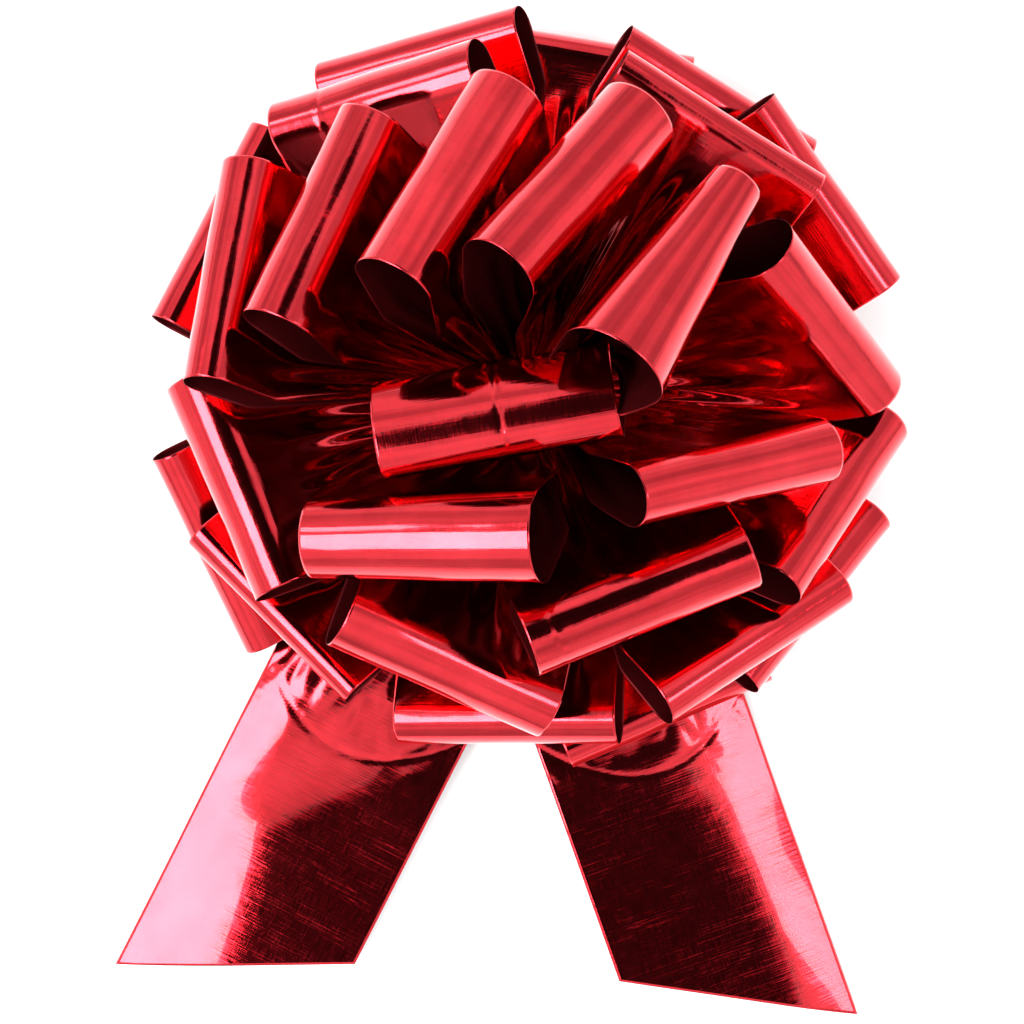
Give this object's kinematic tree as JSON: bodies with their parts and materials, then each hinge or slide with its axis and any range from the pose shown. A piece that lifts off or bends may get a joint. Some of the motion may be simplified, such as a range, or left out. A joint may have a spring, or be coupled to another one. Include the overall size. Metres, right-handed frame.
{
  "type": "gift bow",
  "caption": "Large pom-pom gift bow gathered from one wide metallic ribbon, with round loops on sealed necks and two slant-cut tails.",
  "frame": {"origin": "centre of the back seal's flat rear face, the spot that is fastened to a gift", "axes": "+Z out of the bow's front, away from the gift; +Y from the bow's centre towards the side away from the tails; +X to the right seen from the front"},
  "size_m": [0.452, 0.5784, 0.2762],
  "materials": {
    "ribbon_film": "metallised gloss",
    "neck_film": "metallised gloss, crushed",
    "pull_ribbon": "gloss",
    "back_seal": "satin"
  },
  "bodies": {
    "core": {"neck_01": "neck_film", "neck_02": "neck_film", "neck_03": "neck_film", "neck_04": "neck_film", "neck_05": "neck_film", "neck_06": "neck_film", "neck_07": "neck_film", "neck_08": "neck_film", "neck_09": "neck_film", "neck_10": "neck_film", "neck_11": "neck_film", "neck_12": "neck_film", "neck_13": "neck_film", "pull_ribbon_1": "pull_ribbon", "pull_ribbon_2": "pull_ribbon", "back_seal": "back_seal"},
    "loop_01": {"loop_01": "ribbon_film"},
    "loop_02": {"loop_02": "ribbon_film"},
    "loop_03": {"loop_03": "ribbon_film"},
    "loop_04": {"loop_04": "ribbon_film"},
    "loop_05": {"loop_05": "ribbon_film"},
    "loop_06": {"loop_06": "ribbon_film"},
    "loop_07": {"loop_07": "ribbon_film"},
    "loop_08": {"loop_08": "ribbon_film"},
    "loop_09": {"loop_09": "ribbon_film"},
    "loop_10": {"loop_10": "ribbon_film"},
    "loop_11": {"loop_11": "ribbon_film"},
    "loop_12": {"loop_12": "ribbon_film"},
    "loop_13": {"loop_13": "ribbon_film"},
    "loop_14": {"loop_14": "ribbon_film"},
    "loop_15": {"loop_15": "ribbon_film"},
    "loop_16": {"loop_16": "ribbon_film"},
    "loop_17": {"loop_17": "ribbon_film"},
    "loop_18": {"loop_18": "ribbon_film"},
    "loop_19": {"loop_19": "ribbon_film"},
    "loop_20": {"loop_20": "ribbon_film"},
    "loop_21": {"loop_21": "ribbon_film"},
    "loop_22": {"loop_22": "ribbon_film"},
    "loop_23": {"loop_23": "ribbon_film"},
    "loop_24": {"loop_24": "ribbon_film"},
    "loop_25": {"loop_25": "ribbon_film"},
    "loop_26": {"loop_26": "ribbon_film"},
    "tail_left": {"tail_left": "ribbon_film"},
    "tail_right": {"tail_right": "ribbon_film"}
  },
  "joints": [
    {"name": "loop_01_twist", "type": "hinge", "parent": "core", "child": "loop_01", "pos_m": [0, 0, 0.0027], "axis": [0.1727, 0.9794, 0.1045], "range_deg": [-3, 3], "stiffness_Nm_per_rad": 0.03},
    {"name": "loop_02_twist", "type": "hinge", "parent": "core", "child": "loop_02", "pos_m": [0, 0, 0.0027], "axis": [0.4028, -0.9047, 0.1392], "range_deg": [-3, 3], "stiffness_Nm_per_rad": 0.03},
    {"name": "loop_03_twist", "type": "hinge", "parent": "core", "child": "loop_03", "pos_m": [0, 0, 0.0057], "axis": [-0.8637, 0.4592, 0.2079], "range_deg": [-3, 3], "stiffness_Nm_per_rad": 0.03},
    {"name": "loop_04_twist", "type": "hinge", "parent": "core", "child": "loop_04", "pos_m": [0, 0, 0.0057], "axis": [0.7815, -0.5678, 0.2588], "range_deg": [-3, 3], "stiffness_Nm_per_rad": 0.03},
    {"name": "loop_05_twist", "type": "hinge", "parent": "core", "child": "loop_05", "pos_m": [0, 0, 0.0087], "axis": [-0.2849, 0.9318, 0.225], "range_deg": [-3, 3], "stiffness_Nm_per_rad": 0.03},
    {"name": "loop_06_twist", "type": "hinge", "parent": "core", "child": "loop_06", "pos_m": [0, 0, 0.0087], "axis": [-0.0492, -0.9384, 0.342], "range_deg": [-3, 3], "stiffness_Nm_per_rad": 0.03},
    {"name": "loop_07_twist", "type": "hinge", "parent": "core", "child": "loop_07", "pos_m": [0, 0, 0.0117], "axis": [0.5327, 0.8203, 0.2079], "range_deg": [-3, 3], "stiffness_Nm_per_rad": 0.03},
    {"name": "loop_08_twist", "type": "hinge", "parent": "core", "child": "loop_08", "pos_m": [0, 0, 0.0117], "axis": [-0.88, -0.4484, 0.1564], "range_deg": [-2, 2], "stiffness_Nm_per_rad": 0.03},
    {"name": "loop_09_twist", "type": "hinge", "parent": "core", "child": "loop_09", "pos_m": [0, 0, 0.0147], "axis": [0.802, 0.5208, 0.2924], "range_deg": [-3, 3], "stiffness_Nm_per_rad": 0.03},
    {"name": "loop_10_twist", "type": "hinge", "parent": "core", "child": "loop_10", "pos_m": [0, 0, 0.0147], "axis": [-0.6983, -0.6288, 0.342], "range_deg": [-2, 2], "stiffness_Nm_per_rad": 0.03},
    {"name": "loop_11_twist", "type": "hinge", "parent": "core", "child": "loop_11", "pos_m": [0, 0, 0.0177], "axis": [-0.3971, 0.7793, 0.4848], "range_deg": [-3, 3], "stiffness_Nm_per_rad": 0.03},
    {"name": "loop_12_twist", "type": "hinge", "parent": "core", "child": "loop_12", "pos_m": [0, 0, 0.0177], "axis": [0.5793, -0.6664, 0.4695], "range_deg": [-3, 3], "stiffness_Nm_per_rad": 0.03},
    {"name": "loop_13_twist", "type": "hinge", "parent": "core", "child": "loop_13", "pos_m": [0, 0, 0.0207], "axis": [-0.7602, 0.2767, 0.5878], "range_deg": [-3, 3], "stiffness_Nm_per_rad": 0.03},
    {"name": "loop_14_twist", "type": "hinge", "parent": "core", "child": "loop_14", "pos_m": [0, 0, 0.0207], "axis": [0.8391, -0.3221, 0.4384], "range_deg": [-3, 3], "stiffness_Nm_per_rad": 0.03},
    {"name": "loop_15_twist", "type": "hinge", "parent": "core", "child": "loop_15", "pos_m": [0, 0, 0.0237], "axis": [-0.8348, -0.2875, 0.4695], "range_deg": [-3, 3], "stiffness_Nm_per_rad": 0.03},
    {"name": "loop_16_twist", "type": "hinge", "parent": "core", "child": "loop_16", "pos_m": [0, 0, 0.0237], "axis": [0.8013, 0.1703, 0.5736], "range_deg": [-3, 3], "stiffness_Nm_per_rad": 0.03},
    {"name": "loop_17_twist", "type": "hinge", "parent": "core", "child": "loop_17", "pos_m": [0, 0, 0.0267], "axis": [0.4989, 0.6621, 0.5592], "range_deg": [-3, 3], "stiffness_Nm_per_rad": 0.03},
    {"name": "loop_18_twist", "type": "hinge", "parent": "core", "child": "loop_18", "pos_m": [0, 0, 0.0267], "axis": [-0.223, -0.7777, 0.5878], "range_deg": [-2, 2], "stiffness_Nm_per_rad": 0.03},
    {"name": "loop_19_twist", "type": "hinge", "parent": "core", "child": "loop_19", "pos_m": [0, 0, 0.0297], "axis": [-0.5572, 0.4353, 0.7071], "range_deg": [-3, 3], "stiffness_Nm_per_rad": 0.03},
    {"name": "loop_20_twist", "type": "hinge", "parent": "core", "child": "loop_20", "pos_m": [0, 0, 0.0297], "axis": [0.5391, -0.2514, 0.8039], "range_deg": [-3, 3], "stiffness_Nm_per_rad": 0.03},
    {"name": "loop_21_twist", "type": "hinge", "parent": "core", "child": "loop_21", "pos_m": [0, 0, 0.0327], "axis": [-0.1985, 0.4913, 0.848], "range_deg": [-2, 2], "stiffness_Nm_per_rad": 0.03},
    {"name": "loop_22_twist", "type": "hinge", "parent": "core", "child": "loop_22", "pos_m": [0, 0, 0.0327], "axis": [0.3038, -0.5962, 0.7431], "range_deg": [-3, 3], "stiffness_Nm_per_rad": 0.03},
    {"name": "loop_23_twist", "type": "hinge", "parent": "core", "child": "loop_23", "pos_m": [0, 0, 0.0357], "axis": [0.1091, 0.4724, 0.8746], "range_deg": [-2, 2], "stiffness_Nm_per_rad": 0.03},
    {"name": "loop_24_twist", "type": "hinge", "parent": "core", "child": "loop_24", "pos_m": [0, 0, 0.0357], "axis": [-0.2769, -0.4431, 0.8526], "range_deg": [-2, 2], "stiffness_Nm_per_rad": 0.03},
    {"name": "loop_25_twist", "type": "hinge", "parent": "core", "child": "loop_25", "pos_m": [0, 0, 0.0387], "axis": [0.3438, 0.2319, 0.91], "range_deg": [-2, 2], "stiffness_Nm_per_rad": 0.03},
    {"name": "loop_26_twist", "type": "hinge", "parent": "core", "child": "loop_26", "pos_m": [0, 0, 0.0387], "axis": [-0.0989, -0.1098, 0.989], "range_deg": [-2, 2], "stiffness_Nm_per_rad": 0.03},
    {"name": "tail_left_swing", "type": "hinge", "parent": "core", "child": "tail_left", "pos_m": [0, 0, 0.0005], "axis": [0, 0, 1], "range_deg": [-20, 0]},
    {"name": "tail_right_swing", "type": "hinge", "parent": "core", "child": "tail_right", "pos_m": [0, 0, 0.0005], "axis": [0, 0, 1], "range_deg": [0, 20]}
  ]
}
